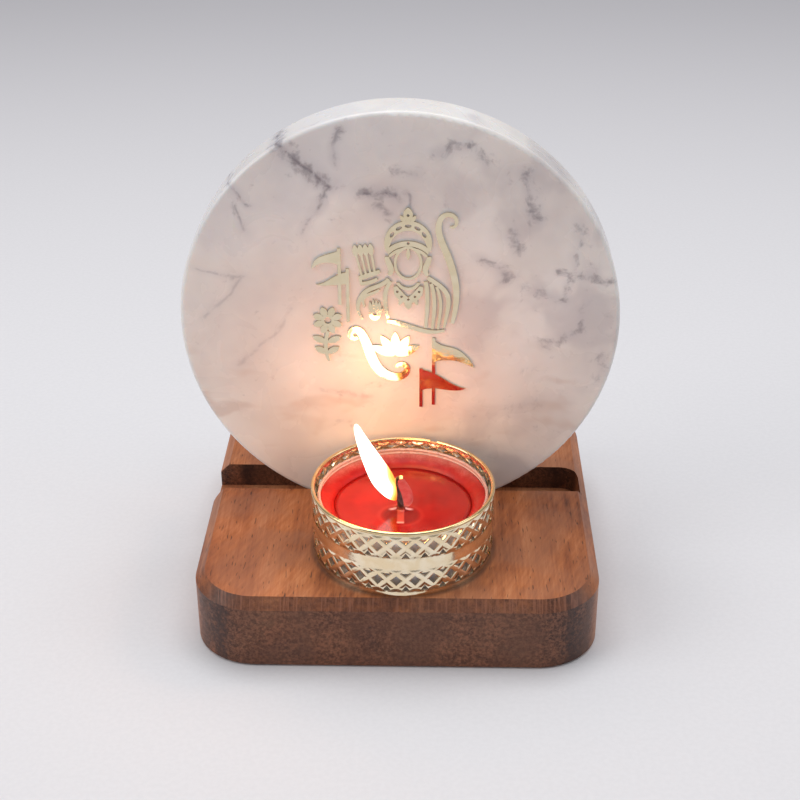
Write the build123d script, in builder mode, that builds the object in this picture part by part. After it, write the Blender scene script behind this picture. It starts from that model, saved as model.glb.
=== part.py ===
from build123d import *
import math
import os

# A tealight stand for a home shrine, in millimetres, +Z up. The origin is at the centre of the wooden
# base's underside. A round marble plaque stands upright in a slot across the base and carries thin
# gilt cut-outs on its front face, and a tealight in a pierced gilt holder stands in front of it.
# The front of the stand faces -Y.

# --- Base: a hardwood block with rounded corners and a slot for the plaque ---
base_width = 90.0
base_depth = 90.0
base_height = 17.2
base_corner_radius = 14.0
base_top_chamfer = 2.2
base_bottom_chamfer = 0.5
slot_front_y = 1.0  # the slot's front wall
slot_depth = 6.0
slot_clearance = 0.25  # between the plaque and each wall of the slot
slot_end_wall = 1.6  # wood left standing at the slot's right end; its left end is open
slot_end_radius = 4.5
slot_mouth_radius = 3.0  # the eased corner where the front wall meets the block's left side
slot_overrun = 2.0  # how far the cutter runs out past the open end

# --- Plaque ---
disc_diameter = 100.0
disc_thickness = 10.6
disc_edge_radius = 1.0
disc_seat_gap = 0.1  # between the plaque's round edge and the slot's floor

# --- Gilt cut-outs on the plaque's face ---
emblem_thickness = 0.4
figure_offset_x = 2.0  # the figure's own centre line, from the plaque's

# --- Pierced holder ---
holder_x = 1.2
holder_setback = 2.8  # from the holder's back to the slot's front wall
band_thickness = 0.4
band_rise = 2.2  # how far the holder stands above the cup's lip
rim_wire_radius = 0.45
rim_seam_angle = 5.0  # the gap where the rim's two ends meet, in degrees
rim_seam_direction = 70.0  # where that gap is, in degrees from +X
holder_floor_thickness = 0.4
holder_fit = 0.03  # between pieces of the holder that are crimped together
piercing_count = 31  # repeats of the pattern in one turn
lower_row_height = 4.1  # the lower row's diamonds above the holder's foot
upper_row_drop = 3.85  # the upper row's diamonds below the holder's top
diamond_width = 2.25
diamond_height = 2.65
small_hole_width = 2.0
lower_hole_height = 1.45
upper_hole_height = 0.9
lower_hole_drop = 2.0  # from a row's centre down to the middle of its lower small holes
upper_hole_rise = 1.45  # and up to the middle of its upper ones

# --- Tealight ---
cup_diameter = 37.8
cup_height = 13.8
cup_clearance = 1.0  # between the cup and the band round it
cup_wall = 0.3
cup_lip_radius = 0.35
wax_fit = 0.05  # between the wax and the metal round it
shelf_drop = 0.5  # the wax's outer edge below the cup's lip
pool_drop = 3.3  # the melted wax's surface below the cup's lip
shelf_width = 3.35  # from the cup's wall to the melted wax, at its surface
pool_floor_margin = 0.97  # melted wax at the cup's floor, past the sustainer's plate
pool_bulge = 1.6  # how far its side bows in half-way down
shelf_sag = 0.3  # how far the set wax's slope sags below a straight line
wick_offset = (-0.4, -2.5)  # the wick's place, from the cup's centre
wick_diameter = 1.5
wick_stand = 8.4  # height of the wick above the melted wax
sustainer_diameter = 10.0
sustainer_thickness = 0.3
sustainer_neck_diameter = 2.7
sustainer_neck_height = 3.0
sustainer_lift = 0.2  # below the sustainer's plate there is a skin of wax

# --- Places worked out from the sizes above ---
slot_width = disc_thickness + 2 * slot_clearance
slot_back_y = slot_front_y + slot_width
disc_radius = disc_diameter / 2
disc_front_y = slot_front_y + slot_clearance
disc_mid_y = disc_front_y + disc_thickness / 2
disc_centre_z = base_height - slot_depth + disc_seat_gap + disc_radius
cup_radius = cup_diameter / 2
cup_inner_radius = cup_radius - cup_wall
band_inner_radius = cup_radius + cup_clearance
band_radius = band_inner_radius + band_thickness
holder_y = slot_front_y - holder_setback - band_radius
holder_height = holder_floor_thickness + cup_height + band_rise
holder_top_z = base_height + holder_height
piercing_rows = (lower_row_height, holder_height - upper_row_drop)
rim_z = holder_top_z - rim_wire_radius
cup_floor_z = base_height + holder_floor_thickness
cup_top_z = cup_floor_z + cup_height
wax_floor_z = cup_floor_z + cup_wall
pool_z = cup_top_z - pool_drop
wax_radius = cup_inner_radius - wax_fit
pool_radius = wax_radius - shelf_width
pool_floor_radius = math.hypot(*wick_offset) + sustainer_diameter / 2 + pool_floor_margin
pool_side = (pool_radius - pool_bulge, (pool_z + wax_floor_z) / 2)
wick_x = holder_x + wick_offset[0]
wick_y = holder_y + wick_offset[1]
sustainer_z = wax_floor_z + sustainer_lift
wick_foot_z = sustainer_z + sustainer_thickness
wick_top_z = pool_z + wick_stand

# Sketches on the plaque's face use x to the right and y up, from the plaque's centre or the figure's.
face_plane = Plane(origin=(0, disc_front_y, disc_centre_z), x_dir=(1, 0, 0), z_dir=(0, -1, 0))
figure_plane = Plane(
    origin=(figure_offset_x, disc_front_y, disc_centre_z), x_dir=(1, 0, 0), z_dir=(0, -1, 0)
)


def save(piece, name):
    """Writes one finished piece to its own file."""
    piece.part.label = name
    export_step(piece.part, f"parts/{name}.step")


def ribbon(points, start, middle, end, samples=14):
    """A stripe along a smooth line; it is start, middle and end wide on its way."""
    line = Edge.make_spline([Vector(*p) for p in points])
    left, right = [], []
    for i in range(samples + 1):
        share = i / samples
        swell = 4 * share * (1 - share)
        width = start + (end - start) * share + (middle - (start + end) / 2) * swell
        side = line.tangent_at(share).rotate(Axis.Z, 90) * (width / 2)
        left.append(line.position_at(share) + side)
        right.append(line.position_at(share) - side)
    with BuildSketch() as shape:
        with BuildLine():
            Spline(*left)
            Line(left[-1], right[-1])
            Spline(*reversed(right))
            Line(right[0], left[0])
        make_face()
    return shape.sketch_local


def leaf(foot, tip, width):
    """A pointed leaf from foot to tip."""
    foot, tip = Vector(*foot), Vector(*tip)
    side = (tip - foot).normalized().rotate(Axis.Z, 90) * (width / 2)
    middle = (foot + tip) / 2
    with BuildSketch() as shape:
        with BuildLine():
            ThreePointArc(foot, middle + side, tip)
            ThreePointArc(tip, middle - side, foot)
        make_face()
    return shape.sketch_local


def arched_band(half_width, foot, rise, inner_half_width, inner_foot, inner_rise):
    """An arched band, symmetric about the Y axis: two arcs, each given by its feet and its rise."""
    with BuildSketch() as shape:
        with BuildLine():
            ThreePointArc((-half_width, foot), (0, foot + rise), (half_width, foot))
            Line((half_width, foot), (inner_half_width, inner_foot))
            inner_top = (0, inner_foot + inner_rise)
            ThreePointArc((inner_half_width, inner_foot), inner_top, (-inner_half_width, inner_foot))
            Line((-inner_half_width, inner_foot), (-half_width, foot))
        make_face()
    return shape.sketch_local


def bar(start, end, width):
    """A straight bar with square ends."""
    start, end = Vector(*start), Vector(*end)
    side = (end - start).normalized().rotate(Axis.Z, 90) * (width / 2)
    with BuildSketch() as shape:
        with BuildLine():
            Polyline(start + side, end + side, end - side, start - side, close=True)
        make_face()
    return shape.sketch_local


def pennant(upper_edge, lower_edge):
    """A waving flag: both edges run from the pole to the tip."""
    with BuildSketch() as shape:
        with BuildLine():
            Spline(*upper_edge)
            Spline(*reversed(lower_edge))
            Line(lower_edge[0], upper_edge[0])
        make_face()
    return shape.sketch_local


def ring(x, y, radius, width):
    """A flat round ring."""
    with BuildSketch() as shape:
        with Locations((x, y)):
            Circle(radius)
            Circle(radius - width, mode=Mode.SUBTRACT)
    return shape.sketch_local


def both_sides(*shapes):
    """The shapes together with their mirror images across the Y axis."""
    with BuildSketch() as pair:
        add(shapes)
        mirror(about=Plane.YZ)
    return pair.sketch_local


# --- Base ---
def wood_base():
    with BuildPart() as piece:
        with BuildSketch():
            RectangleRounded(base_width, base_depth, base_corner_radius)
        extrude(amount=base_height)
        chamfer(piece.faces().sort_by(Axis.Z)[-1].edges(), base_top_chamfer)
        chamfer(piece.faces().sort_by(Axis.Z)[0].edges(), base_bottom_chamfer)
        block_left = -base_width / 2
        slot_left = block_left - slot_overrun
        mouth_x = block_left + slot_mouth_radius
        mouth_y = slot_front_y - slot_mouth_radius
        slot_right = base_width / 2 - slot_end_wall
        with BuildSketch(Plane.XY.offset(base_height)):
            with BuildLine():
                Line((slot_left, mouth_y), (block_left, mouth_y))
                RadiusArc((block_left, mouth_y), (mouth_x, slot_front_y), slot_mouth_radius)
                Line((mouth_x, slot_front_y), (slot_right, slot_front_y))
                Line((slot_right, slot_front_y), (slot_right, slot_back_y - slot_end_radius))
                RadiusArc(
                    (slot_right, slot_back_y - slot_end_radius),
                    (slot_right - slot_end_radius, slot_back_y),
                    -slot_end_radius,
                )
                Line((slot_right - slot_end_radius, slot_back_y), (slot_left, slot_back_y))
                Line((slot_left, slot_back_y), (slot_left, mouth_y))
            make_face()
        extrude(amount=-slot_depth, mode=Mode.SUBTRACT)
    return piece


# --- Plaque ---
def marble_disc():
    with BuildPart() as piece:
        with Locations((0, disc_mid_y, disc_centre_z)):
            Cylinder(disc_radius, disc_thickness, rotation=(90, 0, 0))
        fillet(piece.edges().filter_by(GeomType.CIRCLE), disc_edge_radius)
    return piece


# --- Gilt cut-outs ---
def emblem_crown():
    arch_centre = 20.1
    with BuildPart() as piece:
        with BuildSketch(figure_plane):
            add(arched_band(4.8, 17.9, 7.5, 3.9, 19.9, 3.2))  # the dome
            with Locations((0, arch_centre)):
                with PolarLocations(4.1, 5, start_angle=30, angular_range=120, endpoint=True):
                    Ellipse(0.4, 0.75, mode=Mode.SUBTRACT)
            add(arched_band(4.7, 18.7, 1.9, 4.4, 17.4, 2.0))  # the brim
            add(leaf((0, 25.1), (0, 28.5), 2.1))
            add(both_sides(leaf((-0.6, 25.0), (-1.7, 26.6), 0.9)))
            with Locations((0, 20.1), (0, 26.7)):
                Circle(0.32, mode=Mode.SUBTRACT)
        extrude(amount=emblem_thickness)
    return piece


def emblem_face():
    with BuildPart() as piece:
        with BuildSketch(figure_plane):
            add(
                both_sides(
                    ribbon([(-4.7, 16.9), (-4.3, 15.3), (-3.8, 13.6), (-4.4, 12.4)], 0.9, 1.3, 0.7),  # hair
                    ribbon([(-4.2, 16.9), (-2.7, 18.1), (0, 18.7)], 0.5, 0.8, 0.6),
                )
            )
            with Locations((0, 15.3)):
                Ellipse(3.2, 4.1)
                Ellipse(2.6, 3.5, mode=Mode.SUBTRACT)
            add(leaf((0, 16.0), (0, 19.1), 0.9))  # the mark on the brow
        extrude(amount=emblem_thickness)
    return piece


def emblem_necklace():
    with BuildPart() as piece:
        with BuildSketch(figure_plane):
            add(arched_band(2.7, 10.6, -1.9, 2.0, 10.6, -1.2))
            add(
                both_sides(
                    ribbon([(-2.9, 9.7), (-2.3, 8.1), (-1.2, 6.8), (0, 6.2)], 0.8, 1.9, 1.3),
                    leaf((-1.5, 6.6), (-2.1, 5.0), 0.8),
                )
            )
            add(leaf((0, 6.6), (0, 4.0), 1.6))
            with Locations((-1.5, 7.2), (1.5, 7.2), (-2.45, 8.4), (2.45, 8.4), (0, 6.5)):
                Circle(0.3, mode=Mode.SUBTRACT)
        extrude(amount=emblem_thickness)
    return piece


def emblem_shawl():
    with BuildPart() as piece:
        with BuildSketch(figure_plane):
            add(ribbon([(-4.4, 11.5), (-6.4, 9.9), (-9.2, 8.6), (-11.2, 5.6), (-10.4, 1.6)], 0.8, 1.0, 0.5))
            add(ribbon([(-3.9, 10.9), (-5.0, 8.5), (-5.2, 5.5), (-4.6, 1.8)], 0.8, 1.0, 0.6))
            add(ribbon([(-6.5, 8.9), (-7.7, 8.1), (-9.6, 7.2), (-9.8, 4.5)], 0.5, 0.8, 0.4))
            add(ribbon([(4.4, 11.8), (6.5, 10.3), (8.7, 7.8), (8.9, 4.0), (8.1, -0.6)], 0.9, 1.0, 0.5))
            add(ribbon([(3.9, 10.9), (4.3, 7.0), (4.2, 3.0), (3.9, -0.6)], 0.9, 0.9, 0.7))
            add(ribbon([(5.1, 10.4), (5.8, 7.0), (5.8, 3.0), (5.4, -0.9)], 0.8, 0.9, 0.6))
            add(ribbon([(6.3, 9.6), (7.2, 6.5), (7.2, 3.0), (6.7, -0.9)], 0.6, 0.7, 0.5))
            add(ribbon([(-4.8, 1.0), (-1.2, 0.2), (2.2, -1.0), (5.0, -1.6), (8.3, -1.2)], 0.7, 1.1, 0.6))
        extrude(amount=emblem_thickness)
    return piece


def emblem_hand():
    fingers = 4
    with BuildPart() as piece:
        with BuildSketch(figure_plane):
            with Locations((-7.6, 2.9)):
                Ellipse(1.35, 1.7)
            for i in range(fingers):
                x = -8.6 + 0.7 * i
                rise = 6.0 + 0.5 * i * (fingers - 1 - i) / 2
                add(leaf((x + 0.1, 2.9), (x - 0.05, rise), 0.75))
            add(leaf((-7.2, 2.0), (-5.7, 4.4), 0.8))  # the thumb
            with Locations((-7.6, 2.8)):
                Circle(0.45, mode=Mode.SUBTRACT)
        extrude(amount=emblem_thickness)
    return piece


def emblem_tail():
    rise = [(11.9, 0.5), (12.7, 5.0), (12.7, 9.5), (11.9, 13.5), (10.6, 17.5), (9.2, 21.0), (8.7, 24.2)]
    curl = [(9.7, 26.5), (11.4, 26.8), (12.6, 25.6), (12.2, 24.1), (11.2, 24.0)]
    with BuildPart() as piece:
        with BuildSketch(face_plane):
            add(ribbon(rise + curl, 0.8, 1.55, 0.5, samples=30))
        extrude(amount=emblem_thickness)
    return piece


def emblem_quiver():
    arrows = 4
    with BuildPart() as piece:
        with BuildSketch(face_plane):
            for i in range(arrows):
                top = Vector(-9.6 + 1.15 * i, 17.4 + 0.1 * i)
                foot = Vector(-8.3 + 0.95 * i, 11.9 + 0.33 * i)
                add(bar(foot, top, 0.5))
                add(leaf(top - Vector(0, 0.7), top + Vector(-0.3, 2.3), 1.3))
            add(ribbon([(-9.0, 11.6), (-6.8, 12.4), (-4.3, 13.3)], 1.0, 1.1, 0.9))  # the quiver's mouth
            add(ribbon([(-8.7, 10.3), (-6.7, 10.6), (-4.9, 11.5)], 0.8, 0.9, 0.7))  # its strap
            add(bar((-8.8, 11.8), (-8.5, 10.2), 0.6))
        extrude(amount=emblem_thickness)
    return piece


def emblem_pennants_left():
    with BuildPart() as piece:
        with BuildSketch(face_plane):
            add(bar((-13.4, 18.8), (-13.4, 5.0), 0.75))
            add(bar((-11.6, 13.9), (-11.6, 0.7), 0.75))
            add(
                pennant(
                    [(-13.2, 18.4), (-15.4, 17.5), (-17.8, 16.6), (-19.6, 13.8)],
                    [(-13.2, 14.5), (-15.0, 15.3), (-17.2, 15.2), (-19.6, 13.8)],
                )
            )
            add(
                pennant(
                    [(-11.5, 13.0), (-13.8, 12.4), (-15.7, 11.2), (-18.7, 10.0)],
                    [(-11.5, 10.1), (-13.6, 10.0), (-15.9, 9.8), (-18.7, 10.0)],
                )
            )
        extrude(amount=emblem_thickness)
    return piece


def emblem_pennants_right():
    with BuildPart() as piece:
        with BuildSketch(face_plane):
            add(bar((7.8, -3.2), (7.8, -20.5), 0.75))
            add(bar((4.9, -11.0), (4.9, -21.1), 0.75))
            add(
                pennant(
                    [(7.8, -3.5), (9.9, -5.1), (12.3, -5.7), (14.8, -7.3), (17.2, -10.9)],
                    [(7.8, -9.3), (11.4, -8.8), (14.4, -9.4), (17.2, -10.9)],
                )
            )
            add(
                pennant(
                    [(4.9, -11.3), (8.8, -12.8), (11.4, -14.5), (15.3, -16.2)],
                    [(4.9, -16.8), (9.2, -16.3), (12.2, -16.7), (15.3, -16.2)],
                )
            )
        extrude(amount=emblem_thickness)
    return piece


def emblem_lotus():
    petals = 8
    with BuildPart() as piece:
        with BuildSketch(face_plane):
            add(ring(-16.3, 1.1, 1.5, 0.7))
            with Locations((-16.3, 1.1)):
                with PolarLocations(0, petals, start_angle=180 / petals):
                    add(leaf((1.0, 0), (3.5, 0), 1.6))
            add(ribbon([(-16.3, -1.6), (-16.9, -5.2), (-16.3, -9.2)], 0.8, 0.9, 0.6))
            for height, length in ((-3.9, 3.3), (-6.6, 2.8)):
                for side in (-1, 1):
                    add(leaf((-16.6, height - 0.6), (-16.6 + side * length, height + 0.9), 1.6))
        extrude(amount=emblem_thickness)
    return piece


def emblem_scroll():
    petals = 5
    petal_spread = 128.0
    petal_angles = {"start_angle": 90 - petal_spread / 2, "angular_range": petal_spread, "endpoint": True}
    vine = [(-9.6, -3.1), (-10.9, -3.2), (-11.2, -1.9), (-9.9, -1.2), (-8.3, -2.9), (-6.9, -6.8)]
    tendril = [(-4.3, -11.8), (-1.3, -13.2), (1.3, -12.3), (1.6, -10.6), (0.2, -9.9), (-0.8, -10.7)]
    with BuildPart() as piece:
        with BuildSketch(face_plane):
            add(ribbon(vine + tendril, 0.7, 2.4, 0.6, samples=36))
            with Locations((-1.0, -7.9)):
                with PolarLocations(0, petals, **petal_angles):
                    add(leaf((0.3, 0), (6.2, 0), 2.1))
        extrude(amount=emblem_thickness)
    return piece


# --- Pierced holder ---
def piercing(height, outline):
    """A prism that cuts one hole through the band on its +X side."""
    cut_depth = 4 * band_thickness
    with BuildPart(mode=Mode.PRIVATE) as tool:
        with BuildSketch(Plane.YZ.offset(band_radius - cut_depth / 2)):
            with Locations((0, height)):
                Polygon(*outline, align=None)
        extrude(amount=cut_depth)
    return tool.part


def holder_band():
    across, up = diamond_width / 2, diamond_height / 2
    diamond = [(-across, 0), (0, -up), (across, 0), (0, up)]
    across, up = small_hole_width / 2, lower_hole_height / 2
    pointing_up = [(-across, -up), (across, -up), (0, up)]
    across, up = small_hole_width / 2, upper_hole_height / 2
    pointing_down = [(-across, up), (0, -up), (across, up)]
    with BuildPart() as piece:
        with BuildSketch():
            Circle(band_radius)
            Circle(band_inner_radius, mode=Mode.SUBTRACT)
        extrude(amount=holder_height - rim_wire_radius)
        for row in piercing_rows:
            with PolarLocations(0, piercing_count):
                add(piercing(row, diamond), mode=Mode.SUBTRACT)
            with PolarLocations(0, piercing_count, start_angle=180 / piercing_count):
                add(piercing(row - lower_hole_drop, pointing_up), mode=Mode.SUBTRACT)
                add(piercing(row + upper_hole_rise, pointing_down), mode=Mode.SUBTRACT)
    piece.part.position = (holder_x, holder_y, base_height)
    return piece


def holder_rim():
    rim_radius = band_radius - band_thickness / 2
    groove_width = band_thickness + 2 * holder_fit
    groove_height = 2 * rim_wire_radius + 2 * holder_fit
    with BuildPart() as piece:
        with BuildSketch(Plane.XZ):
            with Locations((rim_radius, rim_z)):
                Circle(rim_wire_radius)
            with Locations((rim_radius, rim_z - rim_wire_radius)):
                Rectangle(groove_width, groove_height, mode=Mode.SUBTRACT)
        revolve(axis=Axis.Z, revolution_arc=360 - rim_seam_angle)
    piece.part.orientation = (0, 0, rim_seam_direction + rim_seam_angle / 2)
    piece.part.position = (holder_x, holder_y, 0)
    return piece


def holder_floor():
    with BuildPart() as piece:
        with BuildSketch(Plane.XY.offset(base_height)):
            with Locations((holder_x, holder_y)):
                Circle(band_inner_radius - holder_fit)
        extrude(amount=holder_floor_thickness)
    return piece


# --- Tealight ---
def tealight_cup():
    lip_z = cup_top_z - cup_lip_radius
    with BuildPart() as piece:
        with BuildSketch(Plane.XZ):
            with BuildLine():
                Polyline(
                    (0, cup_floor_z),
                    (cup_radius, cup_floor_z),
                    (cup_radius, lip_z),
                    (cup_inner_radius, lip_z),
                    (cup_inner_radius, wax_floor_z),
                    (0, wax_floor_z),
                    close=True,
                )
            make_face()
            with Locations((cup_radius - cup_wall / 2, lip_z)):
                Circle(cup_lip_radius)
        revolve(axis=Axis.Z)
    piece.part.position = (holder_x, holder_y, 0)
    return piece


def candle_wax():
    shelf_z = cup_top_z - shelf_drop - 2 * cup_lip_radius
    slope_middle = ((wax_radius + pool_radius) / 2 - shelf_sag, (shelf_z + pool_z) / 2 - shelf_sag)
    with BuildPart() as piece:
        with BuildSketch(Plane.XZ):
            with BuildLine():
                Line((pool_floor_radius, wax_floor_z), (wax_radius, wax_floor_z))
                Line((wax_radius, wax_floor_z), (wax_radius, shelf_z))
                ThreePointArc((wax_radius, shelf_z), slope_middle, (pool_radius, pool_z))
                ThreePointArc((pool_radius, pool_z), pool_side, (pool_floor_radius, wax_floor_z))
            make_face()
        revolve(axis=Axis.Z)
    piece.part.position = (holder_x, holder_y, 0)
    return piece


def melt_pool():
    with BuildPart() as piece:
        with BuildSketch(Plane.XZ):
            with BuildLine():
                Line((0, wax_floor_z), (pool_floor_radius, wax_floor_z))
                ThreePointArc((pool_floor_radius, wax_floor_z), pool_side, (pool_radius, pool_z))
                Line((pool_radius, pool_z), (0, pool_z))
                Line((0, pool_z), (0, wax_floor_z))
            make_face()
        revolve(axis=Axis.Z)
        with Locations((*wick_offset, sustainer_z)):
            Cylinder(
                sustainer_diameter / 2 + wax_fit,
                sustainer_thickness + wax_fit,
                align=(Align.CENTER, Align.CENTER, Align.MIN),
                mode=Mode.SUBTRACT,
            )
            Cylinder(
                sustainer_neck_diameter / 2 + wax_fit,
                sustainer_thickness + sustainer_neck_height + wax_fit,
                align=(Align.CENTER, Align.CENTER, Align.MIN),
                mode=Mode.SUBTRACT,
            )
            Cylinder(
                wick_diameter / 2 + wax_fit,
                cup_height,
                align=(Align.CENTER, Align.CENTER, Align.MIN),
                mode=Mode.SUBTRACT,
            )
    piece.part.position = (holder_x, holder_y, 0)
    return piece


def wick_sustainer():
    with BuildPart() as piece:
        with BuildSketch(Plane.XY.offset(sustainer_z)):
            with Locations((wick_x, wick_y)):
                Circle(sustainer_diameter / 2)
        extrude(amount=sustainer_thickness)
        with BuildSketch(Plane.XY.offset(sustainer_z + sustainer_thickness)):
            with Locations((wick_x, wick_y)):
                Circle(sustainer_neck_diameter / 2)
                Circle(wick_diameter / 2 + wax_fit, mode=Mode.SUBTRACT)
        extrude(amount=sustainer_neck_height)
    return piece


def wick():
    bend_z = pool_z + 0.3 * wick_stand
    elbow = (wick_x - 0.9, wick_y, pool_z + 0.75 * wick_stand)
    with BuildPart() as piece:
        with BuildLine() as path:
            Line((wick_x, wick_y, wick_foot_z), (wick_x, wick_y, bend_z))
            TangentArc((wick_x, wick_y, bend_z), elbow, tangent=(0, 0, 1))
            turn = path.edges().sort_by(Axis.Z)[-1] % 1
            TangentArc(elbow, (wick_x - 0.1, wick_y, wick_top_z), tangent=turn)
        with BuildSketch(Plane.XY.offset(wick_foot_z)):
            with Locations((wick_x, wick_y)):
                Circle(wick_diameter / 2)
        sweep(path=path.line)
    return piece


pieces = (
    wood_base,
    marble_disc,
    emblem_crown,
    emblem_face,
    emblem_necklace,
    emblem_shawl,
    emblem_hand,
    emblem_tail,
    emblem_quiver,
    emblem_pennants_left,
    emblem_pennants_right,
    emblem_lotus,
    emblem_scroll,
    holder_band,
    holder_rim,
    holder_floor,
    tealight_cup,
    candle_wax,
    melt_pool,
    wick_sustainer,
    wick,
)

os.makedirs("parts", exist_ok=True)
for build in pieces:
    save(build(), build.__name__)
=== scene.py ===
"""Looks for a marble plaque and a lit tealight on a hardwood stand.

Metres, +Z up, front towards -Y. Materials work in millimetres.
"""

import math

import bmesh
import bpy
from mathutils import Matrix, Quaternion, Vector


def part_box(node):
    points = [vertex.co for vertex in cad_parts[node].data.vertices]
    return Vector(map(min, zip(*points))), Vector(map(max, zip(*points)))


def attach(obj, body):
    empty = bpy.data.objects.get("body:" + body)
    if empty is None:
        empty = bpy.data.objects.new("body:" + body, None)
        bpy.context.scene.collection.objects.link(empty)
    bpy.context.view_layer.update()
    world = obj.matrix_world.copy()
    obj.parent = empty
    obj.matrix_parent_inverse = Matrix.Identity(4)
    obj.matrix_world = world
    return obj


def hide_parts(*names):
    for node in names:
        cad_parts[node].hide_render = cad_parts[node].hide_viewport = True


MM = 0.001

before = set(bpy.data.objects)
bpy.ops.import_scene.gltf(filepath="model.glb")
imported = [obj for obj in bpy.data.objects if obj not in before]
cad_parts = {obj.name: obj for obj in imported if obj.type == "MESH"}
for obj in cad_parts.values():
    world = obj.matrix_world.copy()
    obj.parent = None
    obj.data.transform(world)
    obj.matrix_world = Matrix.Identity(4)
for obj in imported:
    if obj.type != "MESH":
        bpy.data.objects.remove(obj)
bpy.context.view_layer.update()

# --- Places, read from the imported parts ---
base_low = Vector(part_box("wood_base")[0])
disc_low, disc_high = (Vector(corner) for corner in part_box("marble_disc"))
band_low, band_high = (Vector(corner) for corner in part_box("holder_band"))
cup_high = Vector(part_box("tealight_cup")[1])
wax_low, wax_high = (Vector(corner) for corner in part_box("candle_wax"))
melt_low, melt_high = (Vector(corner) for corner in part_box("melt_pool"))
plate_low, plate_high = (Vector(corner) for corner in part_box("wick_sustainer"))
wick_high = Vector(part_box("wick")[1])

disc_centre = (disc_low + disc_high) / 2
holder_centre = (band_low + band_high) / 2
wick_foot = (plate_low + plate_high) / 2
pool_level = melt_high.z
holder_at_pool = (holder_centre.x, holder_centre.y, pool_level)
pool_radius = (melt_high.x - melt_low.x) / 2
wax_radius = (wax_high.x - wax_low.x) / 2
foot_radius = (band_high.x - band_low.x) / 2


# --- Shader building ---
def put(tree, kind, inputs=None, **settings):
    """Adds a node. Values that are sockets are linked, the rest are set."""
    node = tree.nodes.new(kind)
    for name, value in settings.items():
        setattr(node, name, value)
    for name, value in (inputs or {}).items():
        socket = node.inputs[name]
        if isinstance(value, bpy.types.NodeSocket):
            tree.links.new(value, socket)
        else:
            socket.default_value = value
    return node


def calc(tree, operation, *values, clamp=False):
    """One Math node on numbers or sockets."""
    inputs = dict(enumerate(values))
    return put(tree, "ShaderNodeMath", inputs, operation=operation, use_clamp=clamp).outputs[0]


def times(tree, first, second):
    return calc(tree, "MULTIPLY", first, second)


def plus(tree, first, second):
    return calc(tree, "ADD", first, second)


def minus(tree, first, second):
    return calc(tree, "SUBTRACT", first, second)


def size_of(tree, value):
    """The value without its sign."""
    return calc(tree, "ABSOLUTE", value)


def vector_calc(tree, operation, first, second=None, output="Vector"):
    """One Vector Math node on vectors or sockets."""
    inputs = {0: first} if second is None else {0: first, 1: second}
    return put(tree, "ShaderNodeVectorMath", inputs, operation=operation).outputs[output]


def stretched(tree, vector, factors):
    return vector_calc(tree, "MULTIPLY", vector, factors)


def length_of(tree, vector):
    return vector_calc(tree, "LENGTH", vector, output="Value")


def axis_of(tree, vector, axis):
    return put(tree, "ShaderNodeSeparateXYZ", {0: vector}).outputs[axis]


def noise(tree, vector, scale, detail=3.0, roughness=0.5, distortion=0.0, output="Fac"):
    inputs = {
        "Vector": vector,
        "Scale": scale,
        "Detail": detail,
        "Roughness": roughness,
        "Distortion": distortion,
    }
    return put(tree, "ShaderNodeTexNoise", inputs).outputs[output]


def ramp(tree, value, *stops):
    """A colour ramp: each stop is a place from 0 to 1 and a colour."""
    node = put(tree, "ShaderNodeValToRGB", {"Fac": value})
    elements = node.color_ramp.elements
    while len(elements) < len(stops):
        elements.new(0.5)
    for element, (place, colour) in zip(elements, stops):
        element.position = place
        element.color = (*colour, 1.0)
    return node.outputs["Color"]


def remap(tree, value, low, high, new_low=0.0, new_high=1.0, smooth=True):
    """Takes low..high to new_low..new_high and holds the ends."""
    inputs = {
        "Value": value,
        "From Min": low,
        "From Max": high,
        "To Min": new_low,
        "To Max": new_high,
    }
    kind = "SMOOTHSTEP" if smooth else "LINEAR"
    node = put(tree, "ShaderNodeMapRange", inputs, interpolation_type=kind, clamp=True)
    return node.outputs["Result"]


def fade(tree, value, low, high, strength=1.0):
    """Falls from the strength to nothing as the value goes from low to high."""
    return remap(tree, value, low, high, strength, 0.0)


def mix(tree, factor, first, second):
    """Mixes two colours: all of the first where the factor is 0."""
    node = tree.nodes.new("ShaderNodeMix")
    node.data_type = "RGBA"
    factor_socket, first_socket, second_socket = (node.inputs[i] for i in (0, 6, 7))
    pairs = ((factor_socket, factor), (first_socket, first), (second_socket, second))
    for socket, value in pairs:
        if isinstance(value, bpy.types.NodeSocket):
            tree.links.new(value, socket)
        else:
            socket.default_value = value if isinstance(value, float) else (*value, 1.0)
    return node.outputs[2]


def in_millimetres(tree, centre=(0, 0, 0), stretch=(1, 1, 1)):
    """The point being shaded, in millimetres from a centre, with each axis stretched."""
    place = put(tree, "ShaderNodeTexCoord").outputs["Object"]
    offset = vector_calc(tree, "SUBTRACT", place, tuple(centre))
    return stretched(tree, offset, tuple(s / MM for s in stretch))


def bump(tree, height, strength, distance):
    inputs = {"Strength": strength, "Distance": distance, "Height": height}
    return put(tree, "ShaderNodeBump", inputs).outputs["Normal"]


def material(name, **plain):
    """A new material with a Principled shader, whose plain values are set on its own sockets."""
    made = bpy.data.materials.new(name)
    made.use_nodes = True
    tree = made.node_tree
    shader = tree.nodes["Principled BSDF"]
    for key, value in plain.items():
        shader.inputs[key.replace("_", " ").title().replace("Ior", "IOR")].default_value = value
    return made, tree, shader


def feed(tree, shader, **sockets):
    for key, socket in sockets.items():
        tree.links.new(socket, shader.inputs[key.replace("_", " ").title()])


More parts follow.
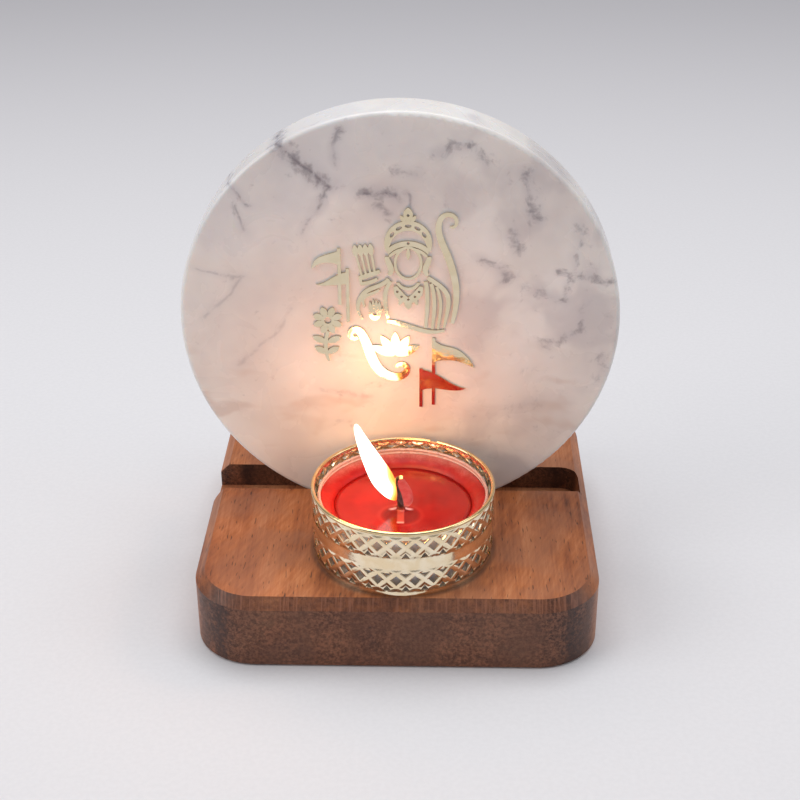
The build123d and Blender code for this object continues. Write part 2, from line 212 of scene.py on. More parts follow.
def new_group(name, inputs, outputs):
    """An empty shader group: inputs are (name, kind, default), outputs are (name, kind)."""
    group = bpy.data.node_groups.new(name, "ShaderNodeTree")
    for label, kind, default in inputs:
        socket = group.interface.new_socket(label, in_out="INPUT", socket_type=kind)
        socket.default_value = default
    for label, kind in outputs:
        group.interface.new_socket(label, in_out="OUTPUT", socket_type=kind)
    given = group.nodes.new("NodeGroupInput").outputs
    result = group.nodes.new("NodeGroupOutput").inputs
    return group, given, result


def use_group(tree, group, **inputs):
    """Places a group and feeds it, then gives its outputs."""
    node = tree.nodes.new("ShaderNodeGroup")
    node.node_tree = group
    for key, value in inputs.items():
        socket = node.inputs[key.replace("_", " ").capitalize()]
        if isinstance(value, bpy.types.NodeSocket):
            tree.links.new(value, socket)
        else:
            socket.default_value = value
    return node.outputs


def vein_group():
    """A soft streak along a straight run of stone; Place is in millimetres."""
    group, given, result = new_group(
        "Vein",
        [
            ("Place", "NodeSocketVector", (0, 0, 0)),
            ("Start", "NodeSocketVector", (0, 0, 0)),
            ("End", "NodeSocketVector", (0, 0, 1)),
            ("Half width", "NodeSocketFloat", 1.0),
            ("Strength", "NodeSocketFloat", 1.0),
        ],
        [("Mask", "NodeSocketFloat"), ("Core", "NodeSocketFloat")],
    )
    core_share = 0.30
    run = vector_calc(group, "SUBTRACT", given["End"], given["Start"])
    away = vector_calc(group, "SUBTRACT", given["Place"], given["Start"])
    reached = vector_calc(group, "DOT_PRODUCT", away, run, output="Value")
    length = vector_calc(group, "DOT_PRODUCT", run, run, output="Value")
    share = calc(group, "DIVIDE", reached, length, clamp=True)
    scaled = put(group, "ShaderNodeVectorMath", {0: run, "Scale": share}, operation="SCALE")
    gap = vector_calc(group, "DISTANCE", away, scaled.outputs[0], output="Value")
    falloff = calc(group, "DIVIDE", gap, given["Half width"])
    soft = fade(group, falloff, 0.0, 1.0)
    group.links.new(times(group, soft, given["Strength"]), result["Mask"])
    thin = fade(group, falloff, 0.0, core_share)
    group.links.new(times(group, thin, given["Strength"]), result["Core"])
    return group


def handling_group():
    """Fine scratches and smears that a polished surface picks up."""
    group, given, result = new_group(
        "Handling marks",
        [
            ("Place", "NodeSocketVector", (0, 0, 0)),
            ("Scratch size", "NodeSocketFloat", 1.0),
            ("Smear size", "NodeSocketFloat", 0.1),
        ],
        [("Scratches", "NodeSocketFloat"), ("Smears", "NodeSocketFloat")],
    )
    askew = {"Vector": given["Place"], "Rotation": (0.3, 0.5, 0.7)}
    turned = put(group, "ShaderNodeMapping", askew).outputs[0]
    drawn = stretched(group, turned, (0.15, 3.0, 3.0))
    fine = noise(group, drawn, given["Scratch size"], detail=2.0)
    group.links.new(remap(group, fine, 0.55, 0.75), result["Scratches"])
    broad = noise(group, given["Place"], given["Smear size"], detail=4.0, distortion=0.6)
    group.links.new(remap(group, broad, 0.35, 0.7), result["Smears"])
    return group


vein = vein_group()
handling_marks = handling_group()

# Streaks in the plaque's stone: start and end in millimetres right of and above its centre,
# then half width and depth of colour.
STONE_STREAKS = (
    ((-27, 43), (-14, 33), 1.5, 0.95),
    ((-14, 33), (-17, 28), 1.2, 0.7),
    ((-17, 28), (-21, 22), 0.9, 0.4),
    ((-13, 46), (-13, 38), 0.8, 0.6),
    ((-38, 33), (-33, 29), 0.9, 0.6),
    ((-36, 28), (-34, 24), 0.8, 0.5),
    ((-7, 32), (-1, 31), 1.6, 0.9),
    ((-5, 29), (-3, 27), 1.4, 0.6),
    ((2, 31), (2, 28), 1.0, 0.6),
    ((0, 36), (4, 36), 1.2, 0.5),
    ((8, 41), (15, 42), 1.3, 0.6),
    ((15, 42), (19, 38), 1.1, 0.5),
    ((28, 35), (30, 26), 1.3, 0.6),
    ((19, 16), (24, 12), 1.3, 0.6),
    ((24, 23), (26, 19), 1.0, 0.6),
    ((28, 9), (36, 7), 1.0, 0.45),
    ((36, 8), (39, 18), 0.8, 0.4),
    ((40, 25), (40, 21), 1.2, 0.5),
    ((35, 14), (47, 11), 0.9, 0.45),
    ((41, 5), (42, -1), 1.0, 0.4),
    ((42, -1), (33, -5), 0.9, 0.4),
    ((47, -8), (46, -13), 1.2, 0.4),
    ((26, -22), (31, -21), 1.6, 0.35),
    ((-46, 14), (-36, 11), 0.9, 0.32),
    ((-36, 11), (-44, 1), 0.9, 0.28),
    ((-24, 3), (-37, -11), 0.9, 0.25),
    ((-18, -17), (-7, -19), 1.6, 0.3),
    ((-15, -25), (-12, -25), 1.2, 0.25),
)


# --- Materials ---
def stone_marks(tree, bent):
    """The listed streaks as soft marks and as thin cores."""
    widening = 2.4
    flat = stretched(tree, bent, (1.0, 0.0, 1.0))
    marks = cores = None
    for (x0, z0), (x1, z1), half_width, depth in STONE_STREAKS:
        streak = use_group(
            tree,
            vein,
            place=flat,
            start=(x0, 0, z0),
            end=(x1, 0, z1),
            half_width=widening * half_width,
            strength=depth,
        )
        if marks is None:
            marks, cores = streak["Mask"], streak["Core"]
        else:
            marks = calc(tree, "MAXIMUM", marks, streak["Mask"])
            cores = calc(tree, "MAXIMUM", cores, streak["Core"])
    return marks, cores


def stone_body(tree, place, bent, rightward):
    """The pale stone under its marks: clouds, grey haze, bruises at the right, drifts below."""
    clouds = noise(tree, place, 0.045, detail=3.0, roughness=0.5)
    body = ramp(
        tree,
        clouds,
        (0.30, (0.70, 0.655, 0.635)),
        (0.48, (0.80, 0.765, 0.735)),
        (0.65, (0.86, 0.84, 0.82)),
    )
    upper_left = vector_calc(tree, "DOT_PRODUCT", place, (-0.006, 0.0, 0.009), output="Value")
    haze = plus(tree, noise(tree, bent, 0.085, detail=3.0), upper_left)
    body = mix(tree, times(tree, remap(tree, haze, 0.72, 1.15), 0.5), body, (0.62, 0.61, 0.64))
    bruises = remap(tree, noise(tree, bent, 0.075, detail=3.0), 0.44, 0.66, 0.0, 0.55)
    body = mix(tree, times(tree, bruises, rightward), body, (0.55, 0.51, 0.52))
    drifts = noise(tree, stretched(tree, bent, (0.45, 1, 1)), 0.16, detail=2.0)
    lower = remap(tree, axis_of(tree, place, "Z"), 2.0, -18.0)
    drifts = times(tree, remap(tree, drifts, 0.56, 0.72), times(tree, lower, 0.45))
    return mix(tree, drifts, body, (0.58, 0.47, 0.42))


def marble():
    """White marble: thin grey veins at the left of the plaque, clustered specks at the right."""
    made, tree, shader = material(
        "white marble", roughness=0.28, subsurface_weight=0.25, subsurface_scale=0.004, ior=1.5
    )
    shader.inputs["Subsurface Radius"].default_value = (1.0, 0.75, 0.55)
    place = in_millimetres(tree, disc_centre)
    wander = noise(tree, place, 0.10, detail=2.5, output="Color")
    wander = vector_calc(tree, "SUBTRACT", wander, (0.5, 0.5, 0.5))
    bent = vector_calc(tree, "ADD", place, stretched(tree, wander, (6.0, 4.0, 6.0)))
    marks, cores = stone_marks(tree, bent)
    crystals = noise(tree, bent, 0.42, detail=5.0, roughness=0.6)
    patches = remap(tree, noise(tree, place, 0.035, detail=2.0), 0.45, 0.62)
    rightward = remap(tree, axis_of(tree, place, "X"), 0.0, 14.0)
    clustered = plus(tree, times(tree, rightward, 0.16), 0.26)
    density = plus(tree, times(tree, marks, clustered), times(tree, patches, 0.04))
    blots = remap(tree, plus(tree, crystals, density), 0.62, 0.96, 0.0, 0.7)
    cores = times(tree, cores, remap(tree, crystals, 0.38, 0.58, 0.15, 0.9))
    cores = times(tree, cores, minus(tree, 1.0, times(tree, rightward, 0.8)))
    dark = calc(tree, "MAXIMUM", blots, cores)
    body = stone_body(tree, place, bent, rightward)
    veined = mix(tree, times(tree, marks, 0.6), body, (0.54, 0.52, 0.55))
    veined = mix(tree, dark, veined, (0.20, 0.18, 0.205))
    touched = use_group(tree, handling_marks, place=place, scratch_size=0.8, smear_size=0.08)
    feed(tree, shader, base_color=veined)
    feed(tree, shader, roughness=remap(tree, touched["Smears"], 0.0, 1.0, 0.24, 0.34))
    feed(tree, shader, normal=bump(tree, noise(tree, place, 1.2, detail=3.0), 0.05, 0.0002))
    return made


def grain_tone(tree, place, fibres):
    """Growth rings, fibres, streaks, raised fuzz and broad figure, summed into one tone."""
    heart = (base_low.x * 0.4, 0.0, base_low.z - 75 * MM)
    ring_width = 3.2
    ring_waviness = 26.0
    fuzz_slant = 0.35
    from_heart = in_millimetres(tree, heart, stretch=(1, 0, 1))
    waviness = noise(tree, stretched(tree, place, (1, 0.16, 1)), 0.035, detail=3.0)
    radius = plus(tree, length_of(tree, from_heart), times(tree, waviness, ring_waviness))
    rings = calc(tree, "SINE", times(tree, radius, math.tau / ring_width))
    rings = remap(tree, rings, -1.0, 1.0, smooth=False)
    turn = {"Vector": place, "Rotation": (0.0, 0.0, fuzz_slant)}
    slanted = put(tree, "ShaderNodeMapping", turn).outputs[0]
    fuzz = noise(tree, stretched(tree, slanted, (1, 0.14, 1)), 1.1, detail=3.0, roughness=0.6)
    streaky = stretched(tree, place, (1, 0.12, 1))
    streaks = noise(tree, streaky, 0.16, detail=3.0, distortion=0.4)
    figured = stretched(tree, place, (1, 0.5, 1))
    figure = noise(tree, figured, 0.055, detail=4.0, distortion=0.8)
    tone = plus(tree, times(tree, rings, 0.06), times(tree, fibres, 0.38))
    tone = plus(tree, tone, times(tree, streaks, 0.22))
    tone = plus(tree, tone, times(tree, fuzz, 0.36))
    return plus(tree, tone, times(tree, minus(tree, figure, 0.42), 0.75))


def end_grain_colour(tree, place):
    """The dark, speckled colour of sawn ends."""
    speckle = noise(tree, place, 1.25, detail=5.0, roughness=0.8)
    speckle = remap(tree, speckle, 0.39, 0.63)
    colour = mix(tree, speckle, (0.020, 0.008, 0.006), (0.25, 0.100, 0.056))
    blotch = noise(tree, stretched(tree, place, (1, 1, 0.4)), 0.09, detail=4.0)
    blotch = remap(tree, blotch, 0.42, 0.60)
    return mix(tree, times(tree, blotch, 0.55), colour, (0.060, 0.026, 0.019))


def hardwood():
    """Grain runs from the front to the back; the rings' heart lies under the block's left side."""
    made, tree, shader = material(
        "oiled hardwood", coat_weight=0.05, coat_roughness=0.35, ior=1.42
    )
    place = in_millimetres(tree)
    fibres = noise(tree, stretched(tree, place, (1, 0.035, 1)), 1.7, detail=5.0, roughness=0.65)
    colour = ramp(
        tree,
        grain_tone(tree, place, fibres),
        (0.30, (0.075, 0.018, 0.006)),
        (0.46, (0.27, 0.075, 0.023)),
        (0.62, (0.44, 0.142, 0.046)),
        (0.80, (0.60, 0.245, 0.105)),
    )
    dust = noise(tree, place, 0.05, detail=4.0, distortion=0.5)
    dust = remap(tree, dust, 0.40, 0.62, 0.0, 0.45)
    colour = mix(tree, dust, colour, (0.33, 0.146, 0.082))

    # Darker heartwood towards the corners.
    dark_heart = noise(tree, stretched(tree, place, (1, 0.12, 0.25)), 0.08, detail=4.0)
    dark_heart = remap(tree, dark_heart, 0.44, 0.54)
    from_middle = size_of(tree, axis_of(tree, place, "X"))
    forward = size_of(tree, facing(tree, "Y"))
    near_side = remap(tree, from_middle, 26.0, 44.0)
    corner = times(tree, near_side, remap(tree, forward, 0.2, 0.7, 0.15, 0.9))
    colour = mix(tree, times(tree, dark_heart, corner), colour, (0.035, 0.014, 0.010))
    pores = noise(tree, stretched(tree, place, (1, 0.13, 1)), 2.1, detail=1.0)
    pits = remap(tree, pores, 0.66, 0.74)
    colour = mix(tree, times(tree, pits, 0.7), colour, (0.03, 0.012, 0.008))

    # End grain on the front and the back, with a dark band up each corner.
    ragged = minus(tree, noise(tree, place, 0.5, detail=4.0, roughness=0.7), 0.5)
    end_grain = remap(tree, plus(tree, forward, times(tree, ragged, 1.1)), 0.35, 0.9)
    colour = mix(tree, times(tree, end_grain, 0.78), colour, end_grain_colour(tree, place))
    band_place = 38.5
    band = minus(tree, plus(tree, from_middle, times(tree, ragged, 9.0)), band_place)
    band = fade(tree, size_of(tree, band), 0.3, 2.6, strength=0.7)
    band = times(tree, band, remap(tree, forward, 0.3, 0.7))
    colour = mix(tree, band, colour, (0.030, 0.013, 0.012))

    # Saw marks across the chamfers of the front and the back.
    sawn = noise(tree, stretched(tree, place, (1, 0.05, 0.05)), 1.3, detail=4.0, roughness=0.7)
    upward = facing(tree, "Z")
    slope = plus(tree, times(tree, forward, upward), times(tree, ragged, 0.5))
    slope = remap(tree, slope, 0.25, 0.45)
    colour = mix(tree, times(tree, slope, 0.45), colour, (0.07, 0.022, 0.011))
    scuffs = times(tree, remap(tree, sawn, 0.47, 0.62), times(tree, slope, 0.6))
    colour = mix(tree, scuffs, colour, (0.28, 0.11, 0.062))

    # Painted shadow: a thin dark line on the wood round the holder's foot, where it stands.
    around_foot = (holder_centre.x, holder_centre.y, 0.0)
    from_centre = length_of(tree, in_millimetres(tree, around_foot, stretch=(1, 1, 0)))
    from_foot = size_of(tree, minus(tree, from_centre, foot_radius / MM))
    painted_foot_shadow = fade(tree, from_foot, 0.1, 1.4, strength=0.6)
    painted_foot_shadow = times(tree, painted_foot_shadow, remap(tree, upward, 0.8, 0.95))
    colour = mix(tree, painted_foot_shadow, colour, (0.02, 0.008, 0.006))

    depth = minus(tree, times(tree, fibres, 0.5), times(tree, pits, 0.8))
    feed(tree, shader, base_color=colour)
    feed(tree, shader, roughness=remap(tree, fibres, 0.3, 0.7, 0.5, 0.36))
    feed(tree, shader, normal=bump(tree, depth, 0.35, 0.00015))
    return made


def facing(tree, axis):
    """How far the surface faces along one of the object's axes."""
    normal = put(tree, "ShaderNodeTexCoord").outputs["Normal"]
    return axis_of(tree, normal, axis)


def gilt(name, colour, tint, roughness, unevenness):
    """Polished gold-coloured metal, with the faint waves of pressed sheet."""
    made, tree, shader = material(name, metallic=1.0)
    place = in_millimetres(tree)
    marks = use_group(tree, handling_marks, place=place, scratch_size=1.3, smear_size=0.25)
    tone = mix(tree, marks["Smears"], colour, tint)
    rough = plus(tree, roughness, times(tree, marks["Scratches"], 0.10))
    waves = noise(tree, place, 0.35, detail=2.0)
    feed(tree, shader, base_color=tone)
    feed(tree, shader, roughness=rough)
    feed(tree, shader, normal=bump(tree, waves, unevenness, 0.0004))
    return made


def embossed_gilt():
    """The holder's band: gilt sheet pressed into a lattice of ribs round its holes."""
    repeats = 31
    row_heights = (4.1, 12.55)
    row_height = 5.4
    rib_lean = 1.45
    made, tree, shader = material("embossed gilt", metallic=1.0)
    centre = Vector((holder_centre.x, holder_centre.y, band_low.z))
    place = in_millimetres(tree, centre)
    parts = put(tree, "ShaderNodeSeparateXYZ", {0: place}).outputs
    turn = calc(tree, "ARCTAN2", parts["Y"], parts["X"])
    turn = calc(tree, "DIVIDE", turn, math.tau / repeats)
    relief = None
    for height in row_heights:
        rise = calc(tree, "DIVIDE", minus(tree, parts["Z"], height), row_height)
        within = fade(tree, size_of(tree, rise), 0.34, 0.58)
        for lean in (-rib_lean, rib_lean):
            slanted = plus(tree, turn, times(tree, rise, lean))
            wave = calc(tree, "COSINE", times(tree, plus(tree, slanted, 0.5), math.tau))
            rib = times(tree, remap(tree, wave, -0.7, 1.0), within)
            relief = rib if relief is None else calc(tree, "MAXIMUM", relief, rib)
    marks = use_group(tree, handling_marks, place=place, scratch_size=1.6, smear_size=0.3)
    tone = mix(tree, marks["Smears"], (0.90, 0.74, 0.49), (0.97, 0.85, 0.64))
    waves = times(tree, noise(tree, place, 0.25, detail=2.0), 0.5)
    feed(tree, shader, base_color=tone)
    feed(tree, shader, roughness=plus(tree, times(tree, marks["Scratches"], 0.10), 0.13))
    feed(tree, shader, normal=bump(tree, plus(tree, relief, waves), 0.7, 0.0004))
    return made


def cup_aluminium():
    """Thin pale sheet with fine pleats up its wall, and wax smeared on its lip."""
    pleat_turns = 84.0
    made, tree, shader = material("cup aluminium", metallic=0.25)
    place = in_millimetres(tree, holder_centre)
    marks = use_group(tree, handling_marks, place=place, scratch_size=2.0, smear_size=0.3)
    sheet = mix(tree, marks["Smears"], (0.95, 0.93, 0.99), (0.84, 0.82, 0.89))
    lip = (holder_centre.x, holder_centre.y, cup_high.z)
    from_lip = axis_of(tree, in_millimetres(tree, lip), "Z")
    waxy = remap(tree, from_lip, -1.4, -0.5, 0.0, 0.85)
    sheet = mix(tree, waxy, sheet, (0.42, 0.25, 0.22))
    parts = put(tree, "ShaderNodeSeparateXYZ", {0: place}).outputs
    turn = calc(tree, "ARCTAN2", parts["Y"], parts["X"])
    drift = noise(tree, place, 0.35, detail=2.0)
    turn = plus(tree, times(tree, turn, pleat_turns), times(tree, drift, 5.0))
    pleats = times(tree, calc(tree, "SINE", turn), times(tree, drift, 0.8))
    depth = plus(tree, pleats, marks["Scratches"])
    feed(tree, shader, base_color=sheet)
    feed(tree, shader, roughness=plus(tree, times(tree, marks["Smears"], 0.12), 0.26))
    feed(tree, shader, normal=bump(tree, depth, 0.45, 0.0001))
    return made


def tinned_steel():
    """The wick's plate, under the melted wax."""
    made, tree, shader = material("tinned steel", metallic=1.0)
    place = in_millimetres(tree, wick_foot)
    marks = use_group(tree, handling_marks, place=place, scratch_size=2.5, smear_size=0.5)
    tone = mix(tree, marks["Smears"], (0.55, 0.53, 0.50), (0.42, 0.40, 0.38))
    feed(tree, shader, base_color=tone)
    feed(tree, shader, roughness=plus(tree, times(tree, marks["Scratches"], 0.2), 0.3))
    return made


def set_wax():
    """The unmelted edge: saturated red, frosted and paler at the back by the cup's wall."""
    made, tree, shader = material(
        "red wax", subsurface_weight=0.55, subsurface_scale=0.004, ior=1.40
    )
    shader.inputs["Subsurface Radius"].default_value = (1.0, 0.25, 0.15)
    place = in_millimetres(tree, holder_at_pool)
    from_centre = length_of(tree, stretched(tree, place, (1.0, 1.0, 0.0)))
    cloud = noise(tree, place, 0.45, detail=4.0, roughness=0.6)
    reach = plus(tree, from_centre, times(tree, minus(tree, cloud, 0.5), 3.0))
    frost = remap(tree, reach, 15.9, 18.9)
    back = remap(tree, axis_of(tree, place, "Y"), 3.0, 15.0, 0.0, 0.95)
    grain = noise(tree, place, 3.0, detail=3.0)
    red = mix(tree, remap(tree, cloud, 0.3, 0.7), (0.27, 0.0030, 0.0020), (0.34, 0.005, 0.003))
    pale = mix(tree, remap(tree, grain, 0.35, 0.7), (0.46, 0.13, 0.11), (0.54, 0.24, 0.21))
    feed(tree, shader, base_color=mix(tree, times(tree, frost, back), red, pale))
    feed(tree, shader, roughness=remap(tree, cloud, 0.3, 0.7, 0.30, 0.48))
    feed(tree, shader, normal=bump(tree, cloud, 0.35, 0.0004))
    return made


def liquid_wax():
    """Clear red liquid over the wick's foot plate, which shows as a darker round."""
    made, tree, shader = material(
        "melted red wax", roughness=0.14, ior=1.44, subsurface_weight=0.35, subsurface_scale=0.006
    )
    shader.inputs["Subsurface Radius"].default_value = (1.0, 0.18, 0.10)
    wide = in_millimetres(tree, holder_at_pool, stretch=(1, 1, 0))
    cloud = noise(tree, wide, 0.12, detail=2.0)
    reds = (0.235, 0.0035, 0.0035), (0.30, 0.0055, 0.0045)
    red = mix(tree, remap(tree, cloud, 0.35, 0.65), *reds)
    edge = remap(tree, length_of(tree, wide), 11.0, 15.2)
    red = mix(tree, times(tree, edge, 0.25), red, (0.36, 0.015, 0.010))

    # The plate looks shifted to the front, because the liquid bends the view of it.
    shown_plate = (wick_foot.x, wick_foot.y - 2.3 * MM, pool_level)
    from_plate = length_of(tree, in_millimetres(tree, shown_plate, stretch=(1, 1.12, 0)))
    plate = fade(tree, from_plate, 3.3, 4.7)
    red = mix(tree, times(tree, plate, 0.8), red, (0.14, 0.0015, 0.002))
    rim = minus(tree, fade(tree, from_plate, 4.2, 4.7), fade(tree, from_plate, 4.7, 5.7))
    red = mix(tree, size_of(tree, times(tree, rim, 0.2)), red, (0.42, 0.04, 0.03))

    # The cord shows through the liquid in front of its foot.
    from_cord = put(tree, "ShaderNodeSeparateXYZ", {0: in_millimetres(tree, wick_foot)}).outputs
    aside = size_of(tree, from_cord["X"])
    behind = from_cord["Y"]
    sunk = times(tree, fade(tree, aside, 0.55, 0.95), fade(tree, behind, -0.9, -0.4))
    sunk = times(tree, sunk, remap(tree, behind, -5.8, -5.2))
    red = mix(tree, times(tree, sunk, 0.6), red, (0.55, 0.10, 0.075))
    # Painted highlight: a pale glint at the lower end of the cord seen through the liquid.
    foot = times(tree, sunk, fade(tree, behind, -5.4, -4.6))
    red = mix(tree, times(tree, foot, 0.7), red, (0.85, 0.45, 0.42))

    # Glints on both sides, where the liquid climbs the cord.
    beside = times(tree, remap(tree, aside, 0.8, 1.2), fade(tree, aside, 1.8, 3.0))
    glint = times(tree, beside, fade(tree, size_of(tree, behind), 0.15, 0.6))
    red = mix(tree, times(tree, glint, 0.7), red, (0.85, 0.52, 0.62))
    feed(tree, shader, base_color=red)
    feed(tree, shader, normal=bump(tree, cloud, 0.10, 0.0006))
    return made


def burnt_wick():
    """Charred cord: waxy at the pool, black above, with a glowing end."""
    made, tree, shader = material("burnt wick", roughness=0.8, emission_strength=6.0)
    place = in_millimetres(tree, (wick_foot.x, wick_foot.y, pool_level))
    height = axis_of(tree, place, "Z")
    rightward = axis_of(tree, place, "X")
    strands = noise(tree, stretched(tree, place, (1.0, 1.0, 0.35)), 2.6, detail=3.0)
    char = ramp(tree, strands, (0.35, (0.008, 0.006, 0.005)), (0.65, (0.06, 0.035, 0.022)))
    soaked = fade(tree, height, 0.2, 1.4)
    tip = times(tree, remap(tree, height, 7.6, 8.4), remap(tree, rightward, -0.5, 0.2))
    flame_side = times(tree, remap(tree, rightward, -0.9, -1.7), 0.5)
    ember = calc(tree, "MAXIMUM", tip, flame_side)
    ember = times(tree, ember, remap(tree, height, 2.0, 4.0))
    feed(tree, shader, base_color=mix(tree, soaked, char, (0.45, 0.09, 0.05)))
    feed(tree, shader, emission_color=mix(tree, ember, (0.0, 0.0, 0.0), (1.0, 0.42, 0.10)))
    feed(tree, shader, normal=bump(tree, strands, 0.8, 0.0003))
    return made


def flame_light():
    """White at the core and tip, yellow low on its right side, and orange at its root."""
    made, tree, shader = material("flame", roughness=1.0, emission_strength=3.0)
    shader.inputs["Base Color"].default_value = (0.0, 0.0, 0.0, 1.0)
    place = in_millimetres(tree, flame_root)
    parts = put(tree, "ShaderNodeSeparateXYZ", {0: place}).outputs
    rise = calc(tree, "DIVIDE", parts["Z"], flame_rise.z / MM)
    aside = minus(tree, parts["X"], times(tree, rise, flame_rise.x / MM))
    flicker = times(tree, minus(tree, noise(tree, place, 0.3, detail=1.0), 0.5), 0.3)
    rightward = plus(tree, times(tree, aside, 0.33), flicker)
    low = times(tree, minus(tree, 0.42, rise), 1.1)
    foot = fade(tree, rise, 0.0, 0.2, strength=0.5)
    glow = ramp(
        tree,
        plus(tree, plus(tree, rightward, low), foot),
        (0.42, (1.0, 0.94, 0.80)),
        (0.60, (1.0, 0.50, 0.16)),
        (0.76, (1.0, 0.27, 0.045)),
        (1.00, (0.62, 0.10, 0.012)),
    )
    feed(tree, shader, emission_color=glow)
    return made


def flame_haze():
    """The faint violet-pink zone round the wick."""
    made, tree, shader = material("flame haze", roughness=1.0, emission_strength=1.0)
    shader.inputs["Base Color"].default_value = (0.0, 0.0, 0.0, 1.0)
    place = in_millimetres(tree, wick_foot)
    drift = noise(tree, place, 0.6, detail=2.0)
    glow = ramp(tree, drift, (0.35, (0.85, 0.25, 0.32)), (0.7, (0.95, 0.45, 0.38)))
    feed(tree, shader, emission_color=glow)
    feed(tree, shader, alpha=remap(tree, drift, 0.3, 0.7, 0.03, 0.11))
    return made


def floor_paper():
    """Pale matt paper, with painted shade that darkens it far behind the object."""
    made, tree, shader = material("floor paper", roughness=0.7)
    place = in_millimetres(tree)
    tooth = noise(tree, place, 0.9, detail=2.0)
    # Painted shade: the paper darkens with distance behind the object, as the lamps' light falls
    # off.
    away = remap(tree, axis_of(tree, place, "Y"), 60.0, 620.0)
    grained = remap(tree, tooth, 0.3, 0.7)
    pale = mix(tree, grained, (0.70, 0.695, 0.715), (0.72, 0.715, 0.735))
    feed(tree, shader, base_color=mix(tree, away, pale, (0.55, 0.54, 0.565)))
    feed(tree, shader, normal=bump(tree, tooth, 0.04, 0.0002))
    return made


# --- Meshes ---
def mesh_piece(name, bm, finish):
    """Turns a bmesh into a piece of the scene."""
    bmesh.ops.recalc_face_normals(bm, faces=bm.faces)
    mesh = bpy.data.meshes.new(name)
    bm.to_mesh(mesh)
    bm.free()
    for face in mesh.polygons:
        face.use_smooth = True
    piece = bpy.data.objects.new(name, mesh)
    bpy.context.scene.collection.objects.link(piece)
    mesh.materials.append(finish)
    return piece


def wrapped_rings(bm, rings, closed):
    """Joins equal rings of points in turn.

    closed joins the last ring to the first; otherwise both ends are capped.
    """
    loops = [[bm.verts.new(point) for point in ring] for ring in rings]
    count = len(loops[0])
    pairs = zip(loops, loops[1:] + loops[:1]) if closed else zip(loops, loops[1:])
    for near, far in pairs:
        for i in range(count):
            j = (i + 1) % count
            bm.faces.new((near[i], near[j], far[j], far[i]))
    if not closed:
        bm.faces.new(loops[0])
        bm.faces.new(loops[-1])


def around(count):
    """Evenly spaced angles of a full turn."""
    return [math.tau * i / count for i in range(count)]


def on_circle(centre, radius, angle):
    """x and y of a point on a level circle."""
    return centre.x + radius * math.cos(angle), centre.y + radius * math.sin(angle)


def wobble(angle, amount, phase):
    """A slow, uneven wander round a circle."""
    slow = math.sin(2 * angle + phase)
    middling = 0.6 * math.sin(3 * angle + 2.1 * phase)
    quick = 0.3 * math.sin(7 * angle)
    return amount * (slow + middling + quick)


def melt_edge(angle):
    """Radius of the melted wax's edge, from the holder's centre."""
    return pool_radius + wobble(angle, 0.16 * MM, 1.3)


# The set wax's section: share of the way from the melt's edge to the cup's wall, then height
# above the liquid as a share of the shelf's own.
WAX_SECTION = (
    (0.00, -0.9),
    (0.00, -0.02),
    (0.10, 0.22),
    (0.28, 0.52),
    (0.50, 0.74),
    (0.72, 0.86),
    (0.90, 0.97),
    (1.00, 1.00),
    (1.00, -0.9),
)


def set_wax_piece():
    """Set wax between the cup's wall and the melt: an uneven shelf that slopes to the liquid."""
    shelf_height = wax_high.z - pool_level
    rings = []
    for share, rise in WAX_SECTION:
        ring = []
        for angle in around(128):
            radius = melt_edge(angle) * (1 - share) + wax_radius * share
            lift = wobble(angle, 0.05 * MM, 0.4) * math.sin(math.pi * share)
            height = pool_level + shelf_height * rise + lift
            ring.append((*on_circle(holder_centre, radius, angle), height))
        rings.append(ring)
    bm = bmesh.new()
    wrapped_rings(bm, rings, closed=True)
    piece = mesh_piece("wax_shell", bm, set_wax())
    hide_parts("candle_wax")
    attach(piece, "candle")


def liquid_wax_piece():
    """The melt: a level surface that climbs a little at the wick and at its own edge."""
    wick_radius = 0.95 * MM
    climb_at_wick, wick_reach = 0.45 * MM, 0.7 * MM
    climb_at_edge, edge_reach = 0.18 * MM, 0.6 * MM
    depth = 1.6 * MM
    steps = 24
    crowding_at_wick = 1.6
    rings = []
    for i in range(steps + 1):
        share = (i / steps) ** crowding_at_wick
        ring = []
        for angle in around(128):
            outer = Vector(on_circle(holder_centre, melt_edge(angle), angle))
            inner = Vector(on_circle(wick_foot, wick_radius, angle))
            spot = inner.lerp(outer, share)
            climb = climb_at_wick * math.exp(-(spot - inner).length / wick_reach)
            climb += climb_at_edge * math.exp(-(outer - spot).length / edge_reach)
            ring.append((spot.x, spot.y, pool_level + climb))
        rings.append(ring)
    rings.append([(x, y, pool_level - depth) for x, y, _ in rings[-1]])
    rings.append([(x, y, pool_level - depth) for x, y, _ in rings[0]])
    bm = bmesh.new()
    wrapped_rings(bm, rings, closed=True)
    piece = mesh_piece("wax_melt", bm, liquid_wax())
    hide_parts("melt_pool")
    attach(piece, "candle")


# The flame leans to the left from the wick's side.
flame_root = Vector((wick_foot.x - 1.1 * MM, wick_foot.y, pool_level + 2.4 * MM))
flame_rise = Vector((-8.6, 0.0, 19.4)) * MM

# The flame's outline: share of the way up, then how far it reaches left and right in millimetres.
FLAME_OUTLINE = (
    (0.00, 0.3, 0.2),
    (0.05, 1.3, 1.1),
    (0.12, 2.1, 1.6),
    (0.23, 2.8, 2.1),
    (0.33, 3.1, 2.2),
    (0.50, 2.8, 1.7),
    (0.72, 2.2, 1.0),
    (0.90, 1.3, 0.6),
    (0.97, 0.8, 0.5),
    (1.00, 0.3, 0.2),
)


def smoothed(piece):
    """Rounds a coarse piece by subdivision."""
    softened = piece.modifiers.new("smooth", "SUBSURF")
    softened.levels = 2
    softened.render_levels = 2


def ring_round(middle, first, second, count):
    """An ellipse of points round a middle, given its two half axes."""
    return [middle + first * math.cos(a) + second * math.sin(a) for a in around(count)]


